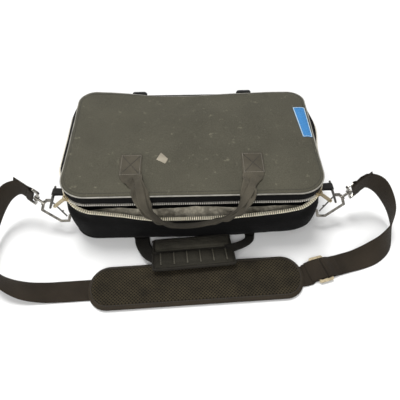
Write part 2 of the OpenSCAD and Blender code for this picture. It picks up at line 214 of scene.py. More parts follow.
def metal(name, colour, rough, scratch=0.25, darkening=0.3, metallic=1.0):
    m = Mat(name, rough, Metallic=metallic)
    at = m.coords()
    # dark blotches: grime on most metals; on the chrome they are painted reflections of its dark surroundings
    blotches = m.noise(at, 90, 6, 0.65)
    m.link(m.ramp(blotches, (0.35, shade(colour, 1 - darkening)), (0.6, colour)), "Base Color")
    m.link(m.math("ADD", m.math("MULTIPLY", m.noise(at, 260, 5), scratch), rough - scratch / 2), "Roughness")
    m.bump(m.noise(at, 500, 3), 0.00008)
    return m.m


def moulded(name, colour, rough=0.55, grain=900, deep=0.00012):
    m = Mat(name, rough)
    at = m.coords()
    m.link(m.ramp(m.noise(at, 35, 5), (0.3, shade(colour, 0.7)), (0.75, shade(colour, 1.5))), "Base Color")
    m.link(m.math("ADD", m.math("MULTIPLY", m.noise(at, 120), 0.25), rough - 0.12), "Roughness")
    m.bump(m.noise(at, grain, 2), deep)
    return m.m


def mesh_cloth(name, colour):
    """Knitted spacer mesh: light threads round dark holes on a diagonal grid. The UV map runs in metres."""
    m = Mat(name, 0.85, Sheen_Weight=0.05, Sheen_Roughness=0.5, Specular_IOR_Level=0.15)
    turned = m.add("Mapping", Vector=m.coords("UV"), Rotation=(0, 0, math.radians(45)))
    cells = m.add("TexVoronoi", {"voronoi_dimensions": "2D"}, Vector=turned.outputs["Vector"],
                  Scale=1 / PAD_PITCH, Randomness=0.0)
    dot = m.ramp(cells.outputs["Distance"], (0.24, shade(colour, 0.12)), (0.42, shade(colour, 1.5)))
    blotches = m.ramp(m.noise(m.coords(), 30, 4), (0.3, (0.6, 0.6, 0.6)), (0.75, (1.3, 1.3, 1.25)))
    fine = m.ramp(m.noise(m.coords(), 900, 2), (0.3, (0.55, 0.55, 0.55)), (0.7, (1.5, 1.45, 1.35)))
    m.link(m.mix(1.0, m.mix(1.0, dot, blotches, "MULTIPLY"), fine, "MULTIPLY"), "Base Color")
    m.bump(m.noise(m.coords(), 900, 2), 0.0003)
    return m.m


# cloth: colour, the weave's pitch and depth, roughness, sheen and its tint, then wear, scuffs and creases
# the lid's grey is partly the nylon's own and partly painted light: its upward face is coloured as bright as
# light and sheen make it look
LID = cloth("lid_nylon", (0.075, 0.070, 0.050), 0.0014, 0.0004, 0.72, 0.08, (0.55, 0.6, 0.7), 0.18, 0.5)
WALL = cloth("tray_nylon", (0.0038, 0.0037, 0.0036), 0.0014, 0.0003, 0.78, 0.02, (0.5, 0.5, 0.52), 0.3, 0.12,
             0.8, shine=0.08)
# partly painted light: the lining's grey is painted paler than the cloth to make up for the lid's shadow over
# it
LINING = cloth("lining_nylon", (0.60, 0.555, 0.445), 0.0008, 0.0004, 0.6, 0.1, (0.7, 0.66, 0.6), 0.45, 0.0,
               1.2, patch=34, crumple=True)
INNER = cloth("inner_fleece", (0.030, 0.030, 0.031), 0.0025, 0.0006, 0.95, 0.2, (0.4, 0.4, 0.42), 0.25)
LOOP = cloth("loop_pile", (0.012, 0.012, 0.012), 0.0012, 0.0010, 0.98, 0.3, (0.25, 0.25, 0.25), 0.4)
GRIP = cloth("grip_nylon", (0.024, 0.0218, 0.0160), 0.0018, 0.0005, 0.8, 0.04, (0.5, 0.48, 0.46), 0.3,
             0.05, 0.5)
# the flap's cloth is the grip's, painted lighter to make up for the shadow of the case over it
FLAP_LIT = cloth("flap_nylon", (0.052, 0.048, 0.037), 0.0018, 0.0005, 0.8, 0.04, (0.5, 0.48, 0.46), 0.3,
             0.05, 0.5)
PAD_EDGE = cloth("pad_edge_tape", (0.027, 0.0205, 0.013), 0.0020, 0.0005, 0.7, 0.06, (0.55, 0.5, 0.45), 0.3)
BINDING = cloth("binding_tape", (0.018, 0.016, 0.012), 0.0020, 0.0005, 0.7, 0.08, (0.55, 0.52, 0.5), 0.25)
# pale as a painted highlight on the edges of the grip's pockets
RIB_TAPE_HIGHLIGHT = cloth("rib_tape", (0.085, 0.078, 0.060), 0.0020, 0.0004, 0.7, 0.05, (0.5, 0.5, 0.5), 0.25)
SEAM = cloth("seam_binding", (0.010, 0.0095, 0.009), 0.0020, 0.0004, 0.75, 0.03, (0.5, 0.5, 0.5), 0.25,
             shine=0.1)
TAG = cloth("tag_weave", (0.050, 0.22, 0.50), 0.0009, 0.0003, 0.6, 0.1, (0.5, 0.7, 0.9), 0.15)
TAG_EDGE = cloth("tag_border", (0.50, 0.64, 0.74), 0.0009, 0.0003, 0.6, 0.1, (0.7, 0.8, 0.9), 0.12)
RESIDUE = moulded("dried_glue", (0.26, 0.23, 0.175), 0.75, 300, 0.0004)
PIPING = moulded("piping_vinyl", (0.24, 0.228, 0.195), 0.38, 200, 0.0003)
THREAD = moulded("sewing_thread", (0.022, 0.020, 0.017), 0.7, 1500, 0.0002)
WEB = webbing("handle_webbing", (0.015, 0.0135, 0.011))
# painted light: this webbing is coloured as bright as its lit top looks, with painted shade lower down
TOP_WEB_LIT = webbing("front_handle_webbing", (0.100, 0.088, 0.065), shade_span=(0.100, 0.155))
TAB_WEB = webbing("tab_webbing", (0.020, 0.019, 0.018))
STRAP = webbing("strap_webbing_ribbed", (0.031, 0.0235, 0.016))
PATCH_THREAD = moulded("patch_thread", (0.17, 0.155, 0.125), 0.7, 1500, 0.0002)
MESH = mesh_cloth("spacer_mesh", (0.0235, 0.0190, 0.0115))
BRASS = metal("zip_brass", (0.62, 0.52, 0.34), 0.32)
TEETH = metal("zip_nickel", (0.66, 0.63, 0.56), 0.35, darkening=0.2, metallic=0.1)
# painted light: the lower teeth are coloured near white and not metallic, so that they stay bright in the
# lid's shadow
TEETH_LOW_LIT = metal("zip_teeth_lower_painted_light", (0.97, 0.90, 0.70), 0.38, darkening=0.15, metallic=0.0)
# the hooks' chrome is painted darker than the metal, with heavy dark blotches, as painted reflections of dark
# surroundings
CHROME = metal("hook_chrome", (0.34, 0.32, 0.28), 0.22, scratch=0.15, darkening=0.7)
DARK = metal("ring_dark", (0.13, 0.125, 0.115), 0.35, scratch=0.2, darkening=0.5)
RUBBER = moulded("foot_rubber", (0.016, 0.016, 0.016), 0.7, 700, 0.0003)
COAT = moulded("board_powder_coat", (0.018, 0.018, 0.019), 0.45, 1400, 0.0003)
CAP = moulded("cap_plastic", (0.012, 0.012, 0.012), 0.5)

for names, mat in (
    ("board_rails side_frame_left side_frame_right", COAT), ("rail_end_caps", CAP),
    ("board_feet lid_feet tray_feet", RUBBER), ("hook_loop_strips", LOOP),
    ("hook_left hook_right swivel_eye_left swivel_eye_right gate_pin_left gate_pin_right", CHROME),
    ("hook_gate_left hook_gate_right ring_left ring_right", DARK),
    ("zip_slider_left zip_slider_right zip_pull_left zip_pull_right strap_slider", BRASS),
):
    for n in names.split():
        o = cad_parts[n]
        o.data.materials.clear()
        o.data.materials.append(mat)


# ---------- mesh tools ----------

def build(name, verts, faces, mat, uv=None, smooth=True):
    me = bpy.data.meshes.new(name)
    me.from_pydata([tuple(v) for v in np.asarray(verts, float)], [], [tuple(f) for f in faces])
    if uv is not None:
        layer = me.uv_layers.new(name="UVMap")
        idx = np.empty(len(me.loops), int)
        me.loops.foreach_get("vertex_index", idx)
        layer.data.foreach_set("uv", np.asarray(uv, float)[idx].ravel())
    b = bmesh.new()
    b.from_mesh(me)
    bmesh.ops.recalc_face_normals(b, faces=b.faces)
    b.to_mesh(me)
    b.free()
    me.materials.append(mat)
    o = bpy.data.objects.new(name, me)
    bpy.context.collection.objects.link(o)
    me.polygons.foreach_set("use_smooth", [smooth] * len(me.polygons))
    return o


def grid_faces(nu, nv, wrap_u=False, wrap_v=False):
    rows, columns = nu if wrap_u else nu - 1, nv if wrap_v else nv - 1
    i, j = np.meshgrid(np.arange(rows), np.arange(columns), indexing="ij")
    a, b = i * nv + j, (i + 1) % nu * nv + j
    c, d = (i + 1) % nu * nv + (j + 1) % nv, i * nv + (j + 1) % nv
    return np.stack([a, b, c, d], -1).reshape(-1, 4).tolist()


def loft(name, P, mat, wrap_u=False, uv=None):
    """Rings P[u] of points, each closed; the two ends are capped unless the rings wrap."""
    nu, nv = P.shape[:2]
    faces = grid_faces(nu, nv, wrap_u, True)
    if not wrap_u:
        faces += [list(range(nv)), [(nu - 1) * nv + j for j in range(nv)]]
    return build(name, P.reshape(-1, 3), faces, mat, None if uv is None else uv.reshape(-1, 2))


def border(nx, ny):
    """Index pairs once round the border of a grid."""
    return ([(i, 0) for i in range(nx)] + [(nx - 1, j) for j in range(1, ny)]
            + [(i, ny - 1) for i in range(nx - 2, -1, -1)] + [(0, j) for j in range(ny - 2, 0, -1)])


def cushion(name, top, low, mat, uv):
    """A closed cushion from two grids of points, joined round their border."""
    nx, ny = top.shape[:2]
    n = nx * ny
    f = grid_faces(nx, ny)
    ring = [i * ny + j for i, j in border(nx, ny)]
    faces = f + [[n + k for k in q[::-1]] for q in f]
    faces += [[a, b, n + b, n + a] for a, b in zip(ring, ring[1:] + ring[:1])]
    verts = np.vstack([top.reshape(-1, 3), low.reshape(-1, 3)])
    return build(name, verts, faces, mat, np.vstack([uv.reshape(-1, 2)] * 2))


def merge(name, shapes, mat):
    """One object, with flat faces, from several meshes."""
    verts, faces, at = [], [], 0
    for v, f in shapes:
        verts.append(v)
        faces += [[k + at for k in q] for q in f]
        at += len(v)
    return build(name, np.concatenate(verts), faces, mat, smooth=False)


def run_length(p):
    """How far along a path each of its points is."""
    return np.concatenate([[0], np.cumsum(np.linalg.norm(np.diff(p, axis=0), axis=1))])


def spline(points, step, closed=False):
    """A smooth curve through points of any dimension, with even spacing in its first three."""
    p = np.asarray(points, float)
    if closed:
        p = np.vstack([p[-1], p, p[0], p[1]])
    else:
        p = np.vstack([2 * p[0] - p[1], p, 2 * p[-1] - p[-2]])
    out = []
    for i in range(1, len(p) - 2):
        a, b, c, d = p[i - 1:i + 3]
        for t in np.linspace(0, 1, 24, endpoint=False):
            square, cube = 2 * a - 5 * b + 4 * c - d, 3 * b - a - 3 * c + d
            out.append(0.5 * (2 * b + (c - a) * t + square * t * t + cube * t ** 3))
    out = np.array(out + [out[0] if closed else p[-2]])
    s = run_length(out[:, :3])
    n = max(3, int(round(s[-1] / step)) + 1)
    even = np.linspace(0, s[-1], n)
    res = np.stack([np.interp(even, s, out[:, k]) for k in range(out.shape[1])], 1)
    return res[:-1] if closed else res


def tangents(p, closed=False):
    if closed:
        t = np.roll(p, -1, 0) - np.roll(p, 1, 0)
    else:
        t = np.gradient(p, axis=0)
    return t / np.linalg.norm(t, axis=1)[:, None]


def square_to(w, t):
    """Directions w made square to the tangents t, with length 1."""
    w = w - t * (w * t).sum(1)[:, None]
    return w / np.linalg.norm(w, axis=1)[:, None]


def tube(name, path, r, mat, closed=False, sides=10, flat=1.0):
    """A cord of radius r along a path that isn't upright; flat is its height as a share of its width."""
    p = np.asarray(path, float)
    t = tangents(p, closed)
    side = np.cross(t, V(0, 0, 1))
    side /= np.linalg.norm(side, axis=1)[:, None]
    top = np.cross(side, t)
    a = (np.arange(sides) / sides * TAU)[None, :, None]
    P = p[:, None] + r * (np.cos(a) * side[:, None] + flat * np.sin(a) * top[:, None])
    return loft(name, P, mat, wrap_u=closed)


def band(name, path, across, width, mat, thick=0.0024, n=10, cup=0.0, folds=None):
    """A flat strap: path points, the direction across it at each, and its width. n is the number of points
    across, cup bows it, and folds(along, across) adds pleats."""
    p = np.asarray(path, float)
    t = tangents(p)
    w = square_to(np.asarray(across, float), t)
    up = np.cross(t, w)
    width, thick = np.broadcast_to(width, len(p)), np.broadcast_to(thick, len(p))
    cup = np.broadcast_to(cup, len(p))
    k = np.linspace(-1, 1, n)
    edge = np.sqrt(np.clip(1 - np.abs(k) ** 12, 0, 1)) * 0.7 + 0.3
    prof = [(a, e) for a, e in zip(k, edge)] + [(a, -e) for a, e in zip(k[::-1], edge[::-1])]
    a, e = np.array(prof).T
    s = run_length(p)
    bend = 0.0 if folds is None else folds(s[:, None], a[None, :])
    P = (p[:, None] + (width[:, None] / 2 * a)[..., None] * w[:, None]
         + (thick[:, None] / 2 * e - cup[:, None] * (1 - a ** 2) + bend)[..., None] * up[:, None])
    uv = np.stack([np.broadcast_to(s[:, None], P.shape[:2]), width[:, None] / 2 * a], -1)
    return loft(name, P, mat, uv=uv)


def wob(p, scale, seed=0.0):
    """Smooth noise, about -1 to 1, at each point, for folds and slack; scale is a length."""
    q = np.asarray(p, float).reshape(-1, 3) / scale
    values = [noise.noise(Vector((a + seed, b - seed, c + 2 * seed))) for a, b, c in q]
    return np.array(values).reshape(np.shape(p)[:-1])


def rim(n_corner=16, gap=0.008, inset=0.0):
    """Points and outward normals round the case's plan, from the middle of the back, clockwise from above."""
    w, d = CX - inset, CY - inset

    def straight(a, b, turn):
        n = max(1, int(math.dist(a, b) / gap))
        return [(a[0] + (b[0] - a[0]) * k / n, a[1] + (b[1] - a[1]) * k / n, turn) for k in range(n)]
    pts, last = [], (0.0, d)
    for sx, sy, start, r in ((1, 1, 90, R_BACK), (1, -1, 0, R), (-1, -1, -90, R), (-1, 1, -180, R_BACK)):
        r -= inset
        arc = []
        for k in range(n_corner + 1):
            turn = start - 90 * k / n_corner
            a = math.radians(turn)
            arc.append((sx * (w - r) + r * math.cos(a), sy * (d - r) + r * math.sin(a), turn))
        pts += straight(last, arc[0][:2], start) + arc[:-1]
        last = arc[-1][:2]
    pts = np.array(pts + straight(last, (0, d), 90))
    ang = np.radians(pts[:, 2])
    pts[:, 0] *= 1 + WIDEN * ease((pts[:, 1] + 0.10) / 0.28)
    return pts[:, :2], np.stack([np.cos(ang), np.sin(ang)], 1)


def ease(x):
    x = np.clip(x, 0, 1)
    return x * x * (3 - 2 * x)


RIM, OUT = rim()
ARC = run_length(RIM)


# ---------- the slack front edge of the tray ----------

# along the front: x, the height of the edge, and how far it leans out
SAG_X, SAG_Z, LEAN = V(
    [-.290, .1257, 0], [-.277, .124, .0005], [-.262, .115, .002], [-.228, .106, .005],
    [-.190, .102, .0075], [-.155, .098, .0095], [-.120, .091, .0115], [-.090, .087, .013],
    [-.030, .089, .0145], [.029, .0905, .015], [.090, .092, .0135], [.151, .096, .0105],
    [.190, .099, .0085], [.212, .102, .007], [.240, .108, .005], [.256, .113, .003],
    [.270, .119, .002], [.280, .124, .001], [.290, .1257, 0]).T


def top_z(xy):
    z = np.interp(xy[:, 0], SAG_X, SAG_Z)
    return np.where(xy[:, 1] < -MY, z, TRAY_TOP)


def lean(xy):
    return np.where(xy[:, 1] < -MY, np.interp(xy[:, 0], SAG_X, LEAN), 0.0)


def flare(xy, nrm):
    """The zip line stands out past the lid's edge: along the left side, and at the back half of the right."""
    along = ease((xy[:, 1] + 0.135) / 0.07)
    bulge = 0.0085 + 0.0110 * np.exp(-((xy[:, 1] - 0.055) / 0.055) ** 2)
    left = np.clip(-nrm[:, 0], 0, 1) * along * 0.0175
    right = np.clip(nrm[:, 0], 0, 1) * bulge * along
    return (left + right) * (1 - ease((xy[:, 1] - 0.115) / 0.05))


def wall_out(xy, nrm, t, z):
    """How far the tray's wall stands out from its plan line, t being the height as a share of the edge's."""
    side = np.clip(np.abs(nrm[:, 0]), 0, 1)
    near = (nrm[:, 1] < -0.05).astype(float)
    corner = np.clip(2.2 * np.abs(nrm[:, 0] * nrm[:, 1]), 0, 1) * near
    belly = np.sin(np.pi * np.clip(t, 0, 1)) ** 0.9
    p = np.stack([xy[:, 0], xy[:, 1], np.broadcast_to(z, len(xy))], 1)
    fold = wob(p, 0.06, 3) * 0.0018 + wob(p * V(1, 1, 0.35), 0.028, 7) * 0.0011
    right = ease((xy[:, 0] - 0.03) / 0.22) * near
    tuck = -0.004 * (1 - ease(t / 0.10)) - 0.012 * right * (1 - ease(t / 0.24))
    waist = -0.0065 * np.exp(-((t - 0.80) / 0.11) ** 2) * np.clip(corner + 0.35 * near, 0, 1)
    out = flare(xy, nrm) * np.clip(t, 0, 1) ** 1.6
    return (belly * (0.0035 * side + 0.002) + lean(xy) * ease(t * 1.05) ** 0.9
            + fold * belly ** 0.5 + tuck + waist + 0.0015 * near * belly + out)


# ---------- tray ----------

def make_tray():
    """The tray's wall: rings up its outside and down its inside."""
    H = top_z(RIM)
    rings = []
    levels = [0.0, 0.012, 0.035, 0.08, 0.15, 0.24, 0.34, 0.45, 0.56, 0.67, 0.77, 0.86, 0.93, 0.98, 1.0]
    for t in levels:
        z = TRAY_FOOT + (H - TRAY_FOOT) * t
        o = wall_out(RIM, OUT, t, z)
        rings.append(np.column_stack([RIM + OUT * o[:, None], z]))
    for t in levels[::-1][1:-3]:
        z = TRAY_FOOT + (H - TRAY_FOOT) * t
        o = wall_out(RIM, OUT, t, z) - 0.006 * ease((1.03 - t) / 0.06)
        o = o - np.where(np.abs(OUT[:, 0]) > 0.3, 0.003 * np.sin(np.pi * t), 0)
        rings.append(np.column_stack([RIM + OUT * o[:, None], z]))
    tray = loft("tray_cover", np.stack(rings, 1), WALL, wrap_u=True)
    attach(tray, "tray")
    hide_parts("tray_front_wall", "tray_back_wall", "tray_left_wall", "tray_right_wall")


def make_seam():
    """The bound seam along the tray's floor edge."""
    z = 0.0045 + 0.0008 * wob(np.column_stack([RIM, np.zeros(len(RIM))]), 0.05, 5)
    foot = wall_out(RIM, OUT, 0.04, z) + 0.0006
    path = np.column_stack([RIM + OUT * foot[:, None], z])
    seam = tube("tray_seam_binding", path, 0.0026, SEAM, closed=True, sides=8)
    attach(seam, "tray")


def slump(p):
    """The middle of the lid's far edge has sunk and drawn in a little, and its left corner stands up."""
    q = np.array(p, float)
    k = np.exp(-((q[:, 0] + 0.02) / 0.14) ** 2) * ease((q[:, 1] - 0.03) / 0.14)
    k = k * ease((q[:, 2] - 0.128) / 0.02)
    q[:, 2] -= 0.0055 * k
    q[:, 1] -= 0.0030 * k
    far = np.exp(-((q[:, 0] + 0.27) / 0.11) ** 2) * ease((q[:, 1] - 0.02) / 0.15)
    q[:, 2] += 0.0055 * far * ease((q[:, 2] - 0.124) / 0.02)
    q[:, 1] += 0.0070 * far * ease((q[:, 2] - 0.104) / 0.03)
    return q


def disc(name, mat, z_top, z_low, inset, edge, crown=0.0, slack=0.0, seed=0.0, rings=26, hollow=0.0,
         drop=False, tuck=False):
    """A rounded-rectangle cushion between two heights, from rings about its middle. drop: it slumps as the
    lid does; tuck: its rim follows the foot of the tray's wall."""
    def settle(xy, z):
        p = np.column_stack([xy, np.broadcast_to(z, len(xy))])
        return slump(p) if drop else p
    xy, nrm = rim(12, 0.010, inset)
    if tuck:
        xy = xy + nrm * wall_out(xy, nrm, 0.0, 0.002)[:, None]
    n = len(xy)
    shares = np.linspace(0, 1, rings) ** 0.8
    P = []
    for s in shares[1:]:
        q = xy * s
        ripple = slack * wob(np.column_stack([q, np.zeros(n)]), 0.09, seed) * (1 - s ** 6)
        P.append(settle(q, z_top + crown * (1 - s ** 2.2) + ripple - edge * ease((s - 0.965) / 0.035)))
    P.append(settle(xy + nrm * edge * 0.3, (z_top + z_low) / 2))
    for s in shares[1:][::-1]:
        P.append(settle(xy * s, z_low + edge * ease((s - 0.965) / 0.035) + hollow * ease((0.93 - s) / 0.03)))
    top_mid = [0, 0, z_top + crown + slack * float(wob(V(0, 0, 0)[None], 0.09, seed)[0])]
    low_mid = [0, 0, z_low + hollow]
    verts = np.vstack([np.array(P).reshape(-1, 3), top_mid, low_mid])
    a, b, last = len(verts) - 2, len(verts) - 1, (len(P) - 1) * n
    faces = grid_faces(len(P), n, False, True)
    faces += [[a, (j + 1) % n, j] for j in range(n)]
    faces += [[b, last + j, last + (j + 1) % n] for j in range(n)]
    return build(name, verts, faces, mat)


def make_floor():
    base = disc("base_cover", WALL, 0.0052, 0.0, 0.0005, 0.0018, hollow=0.0025, tuck=True)
    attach(base, "tray")
    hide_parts("bottom_panel")
    floor_pad = disc("floor_lining", INNER, 0.0080, 0.0054, 0.0045, 0.001, slack=0.0004, seed=4, tuck=True)
    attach(floor_pad, "tray")
    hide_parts("base_pad")


make_tray()
make_seam()
make_floor()


# ---------- zips ----------

def box_mesh(c, ax, half):
    """Eight corners and six faces of a box at c with axes ax (rows) and half sizes."""
    s = np.array([[x, y, z] for x in (-1, 1) for y in (-1, 1) for z in (-1, 1)], float) * half
    v = c + s @ ax
    f = [[0, 1, 3, 2], [4, 6, 7, 5], [0, 4, 5, 1], [2, 3, 7, 6], [0, 2, 6, 4], [1, 5, 7, 3]]
    return v, f


def zip_path(low):
    """The line of one row of teeth, from the hinge at the right of the back round the front, with normals."""
    keep = (ARC > 0.225) & (ARC < ARC[-1] - 0.217)
    xy, n = RIM[keep], OUT[keep]
    if low:
        h = top_z(xy)
        o = wall_out(xy, n, 1.0, h) - 0.0012
        return np.column_stack([xy + n * o[:, None], h + 0.0012]), n
    p = slump(np.column_stack([xy, np.full(len(xy), UPPER_ZIP)]))
    o = lid_out(xy, n, 0.0) - 0.0016
    return np.column_stack([xy + n * o[:, None], p[:, 2]]), n


def lid_out(xy, nrm, t):
    """How far the lid's wall stands out, t from 0 at the zip to 1 at the piping."""
    p = np.column_stack([xy, np.full(len(xy), t * 0.03)])
    return (0.0012 * np.sin(np.pi * np.clip(t, 0, 1)) + 0.0008 * wob(p, 0.07, 11) + 0.0010 * (1 - t)
            + flare(xy, nrm) * (1 - t) ** 0.8)


def teeth(name, low, mat, body, node):
    """One row of teeth, standing on its edge, and the tape that holds it."""
    p, n = zip_path(low)
    line = spline(np.column_stack([p, n]), TOOTH_PITCH)
    t = tangents(line[:, :3])
    half = V(0.00140, 0.0034, 0.0019) if low else V(0.00125, 0.0024, 0.0018)
    rise = 0.0022 if low else -0.0010
    shapes = []
    for q, run in zip(line, t):
        out = unit(V(q[3], q[4], 0))
        up = unit(np.cross(out, run)) if low else V(0, 0, 1)
        if up[2] < 0:
            up = -up
        axes = np.array([run, np.cross(up, run), up])
        shapes.append(box_mesh(q[:3] + up * rise + out * 0.0022, axes, half))
    o = merge(name, shapes, mat)
    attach(o, body)
    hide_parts(node)
    q = line[:, :3] - np.column_stack([line[:, 3:5], np.zeros(len(line))]) * 0.0022
    up = V(0, 0, -1.0 if low else 1.0)
    tape = band(name + "_tape", q + up * 0.004, np.tile(V(0, 0, 1), (len(q), 1)), 0.013, WALL, 0.0009, 4)
    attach(tape, body)


teeth("zip_teeth_lower", True, TEETH_LOW_LIT, "tray", "tray_zip_teeth")
teeth("zip_teeth_upper", False, TEETH, "lid", "lid_zip_teeth")


# ---------- lid ----------

def surface(obj):
    """A function that gives the height of an object's upper side at points x, y."""
    mesh = obj.data
    tree = BVHTree.FromPolygons([v.co for v in mesh.vertices], [tuple(f.vertices) for f in mesh.polygons])

    def height(x, y):
        points = np.stack([x, y], -1).reshape(-1, 2)
        hits = [tree.ray_cast(Vector((a, b, 1)), Vector((0, 0, -1)))[0] for a, b in points]
        return np.array([LID_LEVEL if h is None else h.z for h in hits]).reshape(np.shape(x))
    return height


def make_lid():
    top = disc("lid_cover", LID, LID_LEVEL, 0.1520, 0.0004, 0.0030, 0.0022, 0.0016, 2, 38, drop=True)
    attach(top, "lid")
    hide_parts("lid_panel")
    under = disc("lid_lining", INNER, 0.1518, 0.1472, 0.0062, 0.0015, slack=0.0003, seed=9, drop=True)
    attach(under, "lid")
    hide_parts("lid_pad")
    rings = []
    outer = [(t, 0.0) for t in (0, 0.06, 0.2, 0.4, 0.6, 0.8, 0.93, 1.0)]
    inner = [(t, -0.0045) for t in (1.0, 0.8, 0.6, 0.4, 0.2, 0.05)]
    for t, o in outer + inner:
        off = lid_out(RIM, OUT, t) + o
        level = np.full(len(RIM), BAND_LOW + BAND_RISE * t)
        rings.append(slump(np.column_stack([RIM + OUT * off[:, None], level])))
    wall = loft("lid_side_band", np.stack(rings, 1), WALL, wrap_u=True)
    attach(wall, "lid")
    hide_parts("lid_wall")
    return surface(top)


def make_lid_edge():
    """The piping round the lid's edge and the line of stitches inside it."""
    q = np.column_stack([RIM, np.full(len(RIM), PIPING_Z)])
    wave = wob(q, 0.05, 21) * 0.0007
    line = slump(q + np.column_stack([OUT * (0.0020 + wave)[:, None], wave]))
    pipe = tube("lid_piping_cord", line, PIPING_R, PIPING, closed=True)
    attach(pipe, "lid")
    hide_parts("lid_piping")
    inner_rim = rim(inset=0.0060)[0]
    path = np.column_stack([inner_rim, lid_z(*inner_rim.T) + 0.0002])
    o = stitches("lid_edge_stitching", path, 0.0036, 0.0024, True)
    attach(o, "lid")


def stitches(name, path, pitch, length, closed=False, mat=THREAD, thick=0.0004):
    """A row of short level threads along a path."""
    p = np.asarray(path, float)
    if closed:
        p = np.vstack([p, p[0]])
    s = run_length(p)
    at = np.arange(pitch / 2, s[-1], pitch)
    c = np.stack([np.interp(at, s, p[:, k]) for k in range(3)], 1)
    e = np.stack([np.interp(at + 0.0005, s, p[:, k]) for k in range(3)], 1)
    up, half = V(0, 0, 1), V(length / 2, thick, thick * 0.8)
    shapes = []
    for a, b in zip(c, e):
        t = unit(b - a)
        shapes.append(box_mesh(a, np.array([t, unit(np.cross(up, t)), up]), half))
    return merge(name, shapes, mat)


lid_z = make_lid()
make_lid_edge()


def make_hinge():
    """The cloth strip along the back that joins lid and tray."""
    low, high = 0.104, 0.1515
    X, Z = np.meshgrid(np.linspace(-0.222, 0.222, 60), np.linspace(low, high, 22), indexing="ij")
    ripple = wob(np.stack([X, 0 * X, Z], -1), 0.03, 31) * 0.0004
    y = 0.1822 + ripple + 0.0012 * np.sin(np.pi * (Z - low) / (high - low))
    outer = np.stack([X, y, Z], -1)
    inner = np.stack([X, y - 0.0009, Z], -1)
    P = np.concatenate([outer, inner[:, ::-1]], 1)
    P[..., 1] += 0.0070 * np.exp(-((P[..., 0] + 0.27) / 0.11) ** 2) * ease((P[..., 2] - 0.112) / 0.02)
    o = loft("hinge_cloth", P, WALL)
    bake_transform(o)
    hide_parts("fabric_hinge")


make_hinge()


def make_tag():
    """The woven tag, with a border and no lettering."""
    x0, x1, y0, y1 = 0.2600, 0.2905, -0.007, 0.107
    U, W = np.meshgrid(np.linspace(0, 1, 9), np.linspace(0, 1, 24), indexing="ij")
    X = x0 + (x1 - x0) * U + 0.0060 * (1 - W) * (1 - U) - 0.001 * (1 - W) * U
    Y = y0 + (y1 - y0) * W
    level = lid_z(X, Y)
    top = np.stack([X, Y, level + 0.0009 + 0.0013 * np.sin(np.pi * U) * 0.6], -1)
    low = np.stack([X, Y, level - 0.0003], -1)
    o = loft("woven_tag_cloth", np.concatenate([top, low[:, ::-1]], 1), TAG)
    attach(o, "lid")
    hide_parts("woven_tag")
    line = V([x0 + .0072, y0 + .0015], [x0 + .0012, y1 - .0015], [x1 - .0012, y1 - .0015],
             [x1 - .0022, y0 + .0015], [x0 + .0072, y0 + .0015])
    edge = np.vstack([np.linspace(a, b, 14, endpoint=False) for a, b in zip(line[:-1], line[1:])])
    path = np.column_stack([edge, lid_z(*edge.T) + 0.0013])
    e = tube("woven_tag_border", path, 0.0011, TAG_EDGE, closed=True, sides=6, flat=0.5)
    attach(e, "lid")


def make_residue():
    """A flat patch of dried glue where a square sticker was."""
    c = [(-.072, -.053), (-.055, -.074), (-.061, -.090), (-.082, -.076)]
    q = []
    for k in range(4):
        for s in np.linspace(0, 1, 8, endpoint=False):
            p = V(*c[k]) * (1 - s) + V(*c[(k + 1) % 4]) * s
            rough = [noise.noise(Vector((p[0] * 300, p[1] * 300, seed))) for seed in (5, 9)]
            q.append(p + 0.0008 * V(*rough))
    m = np.mean(q, 0)
    rings = []
    for s, up in ((0.05, .0006), (0.3, .0006), (0.6, .0006), (0.9, .0005), (1, .0001), (1, -.0008),
                  (0.05, -.0008)):
        r = m + (np.array(q) - m) * s
        rings.append(np.column_stack([r, lid_z(*r.T) + up]))
    g = loft("sticker_residue", np.array(rings), RESIDUE)
    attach(g, "lid")


make_tag()
make_residue()


# ---------- front handle ----------

def stitch_box(name, cx, y0, y1, half, z, body):
    """The stitches that hold a patch on the lid: one line round it and a cross."""
    a, b, c, d = ((cx + x * half, y, z) for x, y in ((-1, y0), (1, y0), (1, y1), (-1, y1)))
    for k, line in enumerate(([a, b, c, d, a], [a, c], [b, d])):
        dense = [np.linspace(p, q, 12, endpoint=False) for p, q in zip(line[:-1], line[1:])]
        dense = np.vstack(dense + [V(line[-1])])
        dense[:, 2] = lid_z(dense[:, 0], dense[:, 1]) + z
        thread = PATCH_THREAD if k == 0 else THREAD
        o = stitches(f"{name}_{k}", dense, 0.0042, 0.0028, mat=thread, thick=0.0005)
        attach(o, body)


